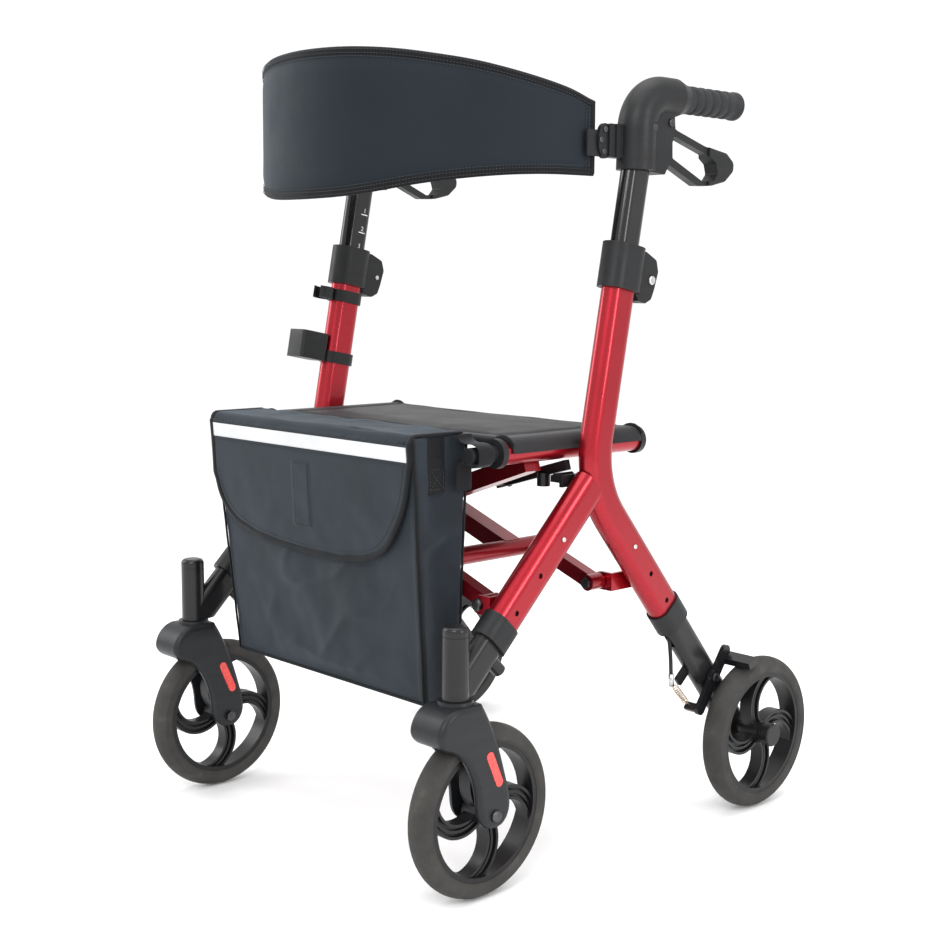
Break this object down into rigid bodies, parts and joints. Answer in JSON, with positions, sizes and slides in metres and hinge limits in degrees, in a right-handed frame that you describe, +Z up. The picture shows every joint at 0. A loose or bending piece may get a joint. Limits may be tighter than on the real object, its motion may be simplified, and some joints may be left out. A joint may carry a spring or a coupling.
{
  "type": "rollator walker",
  "caption": "Folding rollator walker with a cross brace, swivel casters, hand brakes, padded seat, front bag and backrest strap.",
  "frame": {"origin": "on the floor, midway between the front and rear wheel axles and between the two side frames", "axes": "+X to the user's left, +Y to the rear where the user stands, +Z up"},
  "size_m": [0.64, 0.674, 0.9474],
  "materials": {
    "red_paint": "metallic candy red lacquer on aluminium tube",
    "brace_paint": "darker burgundy lacquer on aluminium tube",
    "black_paint": "semi-gloss black powder coat on aluminium",
    "black_anodised": "glossy black anodised tube",
    "charcoal_plastic": "fine-grained charcoal plastic",
    "fork_plastic": "satin charcoal plastic",
    "rim_plastic": "black glass-filled plastic",
    "tyre": "dark grey polyurethane",
    "grip_vinyl": "soft grey-black vinyl",
    "dark_steel": "blackened steel",
    "bright_screws": "zinc-plated steel",
    "spring_steel": "spring steel wire",
    "cable_sheath": "black cable sheath",
    "red_reflector": "moulded red reflector",
    "seat_nylon": "grey-black coated nylon, padded and stitched",
    "bag_nylon": "slate-black woven nylon",
    "strap_fabric": "slate neoprene-backed fabric"
  },
  "bodies": {
    "left_frame": {"left_frame": "red_paint", "left_fittings": "charcoal_plastic", "left_frame_bolts": "dark_steel", "left_brake_cable": "cable_sheath"},
    "left_post": {"left_post": "black_anodised", "left_housing": "charcoal_plastic", "left_grip": "grip_vinyl", "left_handle_bolts": "dark_steel", "left_backrest_bracket": "charcoal_plastic", "backrest": "strap_fabric"},
    "left_lever": {"left_brake_lever": "charcoal_plastic"},
    "left_front_insert": {"left_front_insert": "black_paint"},
    "left_front_button": {"left_front_button": "bright_screws"},
    "left_caster": {"left_fork": "fork_plastic", "left_reflectors": "red_reflector", "left_caster_hardware": "dark_steel"},
    "left_front_wheel": {"left_front_rim": "rim_plastic", "left_front_tyre": "tyre"},
    "left_rear_insert": {"left_rear_insert": "black_paint", "left_rear_hardware": "dark_steel", "left_brake_spring": "spring_steel"},
    "left_rear_button": {"left_rear_button": "bright_screws"},
    "left_rear_wheel": {"left_rear_rim": "rim_plastic", "left_rear_tyre": "tyre"},
    "left_brake_arm": {"left_brake_arm": "black_paint"},
    "right_frame": {"right_frame": "red_paint", "right_fittings": "charcoal_plastic", "right_frame_bolts": "dark_steel", "right_brake_cable": "cable_sheath", "cane_holder": "charcoal_plastic"},
    "right_post": {"right_post": "black_anodised", "right_housing": "charcoal_plastic", "right_grip": "grip_vinyl", "right_handle_bolts": "dark_steel", "right_backrest_bracket": "charcoal_plastic"},
    "right_lever": {"right_brake_lever": "charcoal_plastic"},
    "right_front_insert": {"right_front_insert": "black_paint"},
    "right_front_button": {"right_front_button": "bright_screws"},
    "right_caster": {"right_fork": "fork_plastic", "right_reflectors": "red_reflector", "right_caster_hardware": "dark_steel"},
    "right_front_wheel": {"right_front_rim": "rim_plastic", "right_front_tyre": "tyre"},
    "right_rear_insert": {"right_rear_insert": "black_paint", "right_rear_hardware": "dark_steel", "right_brake_spring": "spring_steel"},
    "right_rear_button": {"right_rear_button": "bright_screws"},
    "right_rear_wheel": {"right_rear_rim": "rim_plastic", "right_rear_tyre": "tyre"},
    "right_brake_arm": {"right_brake_arm": "black_paint"},
    "brace_a": {"brace_a": "brace_paint", "right_seat_rail": "red_paint", "right_rail_fittings": "charcoal_plastic", "right_rest_arm": "black_paint"},
    "brace_b": {"brace_b": "brace_paint", "left_seat_rail": "red_paint", "left_rail_fittings": "charcoal_plastic", "left_rest_arm": "black_paint"},
    "seat_and_bag": {"seat": "seat_nylon", "bag": "bag_nylon"}
  },
  "joints": [
    {"name": "fold", "type": "hinge", "parent": "left_frame", "child": "brace_a", "pos_m": [0.222, -0.1, 0.324], "axis": [0, 1, 0], "range_deg": [0, 55], "deforming": ["seat", "bag", "backrest"]},
    {"name": "brace_cross", "type": "hinge", "parent": "brace_a", "child": "brace_b", "pos_m": [0, -0.089, 0.402], "axis": [0, 1, 0], "range_deg": [-110, 0], "deforming": ["seat", "bag", "backrest"]},
    {"name": "right_frame_hinge", "type": "hinge", "parent": "brace_b", "child": "right_frame", "pos_m": [-0.222, -0.1, 0.324], "axis": [0, 1, 0], "range_deg": [0, 55], "deforming": ["seat", "bag", "backrest"]},
    {"name": "seat_hang", "type": "hinge", "parent": "brace_b", "child": "seat_and_bag", "pos_m": [0.222, -0.057, 0.494], "axis": [0, 1, 0], "range_deg": [0, 55], "deforming": ["seat", "bag", "backrest"]},
    {"name": "left_post_height", "type": "slide", "parent": "left_frame", "child": "left_post", "axis": [0, 0.1874, 0.9823], "range_m": [-0.075, 0.05], "deforming": ["backrest", "left_brake_cable"]},
    {"name": "left_lever_pull", "type": "hinge", "parent": "left_post", "child": "left_lever", "pos_m": [0.254, 0.06, 0.874], "axis": [1, 0, 0], "range_deg": [0, 14], "stiffness_Nm_per_rad": 1.5, "springref_deg": -4.58, "deforming": ["left_brake_cable"]},
    {"name": "left_front_leg_length", "type": "slide", "parent": "left_frame", "child": "left_front_insert", "axis": [0, -0.7071, -0.7071], "range_m": [0, 0.106], "deforming": ["left_front_button"]},
    {"name": "left_front_button_press", "type": "slide", "parent": "left_front_insert", "child": "left_front_button", "axis": [-1, 0, 0], "range_m": [0, 0.0035], "stiffness_N_per_m": 800, "springref_m": -0.001},
    {"name": "left_caster_swivel", "type": "hinge", "parent": "left_front_insert", "child": "left_caster", "pos_m": [0.258, -0.274, 0.23], "axis": [0, 0, 1], "continuous": true},
    {"name": "left_front_wheel_spin", "type": "hinge", "parent": "left_caster", "child": "left_front_wheel", "pos_m": [0.258, -0.237, 0.1], "axis": [1, 0, 0], "continuous": true},
    {"name": "left_rear_leg_length", "type": "slide", "parent": "left_frame", "child": "left_rear_insert", "axis": [0, 0.6428, -0.766], "range_m": [0, 0.098], "deforming": ["left_rear_button", "left_brake_cable"]},
    {"name": "left_rear_button_press", "type": "slide", "parent": "left_rear_insert", "child": "left_rear_button", "axis": [-1, 0, 0], "range_m": [0, 0.0035], "stiffness_N_per_m": 800, "springref_m": -0.001},
    {"name": "left_rear_wheel_spin", "type": "hinge", "parent": "left_rear_insert", "child": "left_rear_wheel", "pos_m": [0.29, 0.237, 0.1], "axis": [1, 0, 0], "continuous": true},
    {"name": "left_brake_arm_turn", "type": "hinge", "parent": "left_rear_insert", "child": "left_brake_arm", "pos_m": [0.27, 0.17, 0.181], "axis": [1, 0, 0], "range_deg": [-4.2, 0], "deforming": ["left_brake_spring", "left_brake_cable"]},
    {"name": "right_post_height", "type": "slide", "parent": "right_frame", "child": "right_post", "axis": [0, 0.1874, 0.9823], "range_m": [-0.075, 0.05], "deforming": ["backrest", "right_brake_cable"]},
    {"name": "right_lever_pull", "type": "hinge", "parent": "right_post", "child": "right_lever", "pos_m": [-0.254, 0.06, 0.874], "axis": [1, 0, 0], "range_deg": [0, 14], "stiffness_Nm_per_rad": 1.5, "springref_deg": -4.58, "deforming": ["right_brake_cable"]},
    {"name": "right_front_leg_length", "type": "slide", "parent": "right_frame", "child": "right_front_insert", "axis": [0, -0.7071, -0.7071], "range_m": [0, 0.106], "deforming": ["right_front_button"]},
    {"name": "right_front_button_press", "type": "slide", "parent": "right_front_insert", "child": "right_front_button", "axis": [1, 0, 0], "range_m": [0, 0.0035], "stiffness_N_per_m": 800, "springref_m": -0.001},
    {"name": "right_caster_swivel", "type": "hinge", "parent": "right_front_insert", "child": "right_caster", "pos_m": [-0.258, -0.274, 0.23], "axis": [0, 0, 1], "continuous": true},
    {"name": "right_front_wheel_spin", "type": "hinge", "parent": "right_caster", "child": "right_front_wheel", "pos_m": [-0.258, -0.237, 0.1], "axis": [1, 0, 0], "continuous": true},
    {"name": "right_rear_leg_length", "type": "slide", "parent": "right_frame", "child": "right_rear_insert", "axis": [0, 0.6428, -0.766], "range_m": [0, 0.098], "deforming": ["right_rear_button", "right_brake_cable"]},
    {"name": "right_rear_button_press", "type": "slide", "parent": "right_rear_insert", "child": "right_rear_button", "axis": [1, 0, 0], "range_m": [0, 0.0035], "stiffness_N_per_m": 800, "springref_m": -0.001},
    {"name": "right_rear_wheel_spin", "type": "hinge", "parent": "right_rear_insert", "child": "right_rear_wheel", "pos_m": [-0.29, 0.237, 0.1], "axis": [1, 0, 0], "continuous": true},
    {"name": "right_brake_arm_turn", "type": "hinge", "parent": "right_rear_insert", "child": "right_brake_arm", "pos_m": [-0.27, 0.17, 0.181], "axis": [1, 0, 0], "range_deg": [-4.2, 0], "deforming": ["right_brake_spring", "right_brake_cable"]}
  ],
  "couplings": [
    {"joint": "brace_cross", "follows": "fold", "ratio": -2},
    {"joint": "right_frame_hinge", "follows": "fold", "ratio": 1},
    {"joint": "seat_hang", "follows": "fold", "ratio": 1},
    {"joint": "left_brake_arm_turn", "follows": "left_lever_pull", "ratio": -0.3},
    {"joint": "right_brake_arm_turn", "follows": "right_lever_pull", "ratio": -0.3}
  ]
}
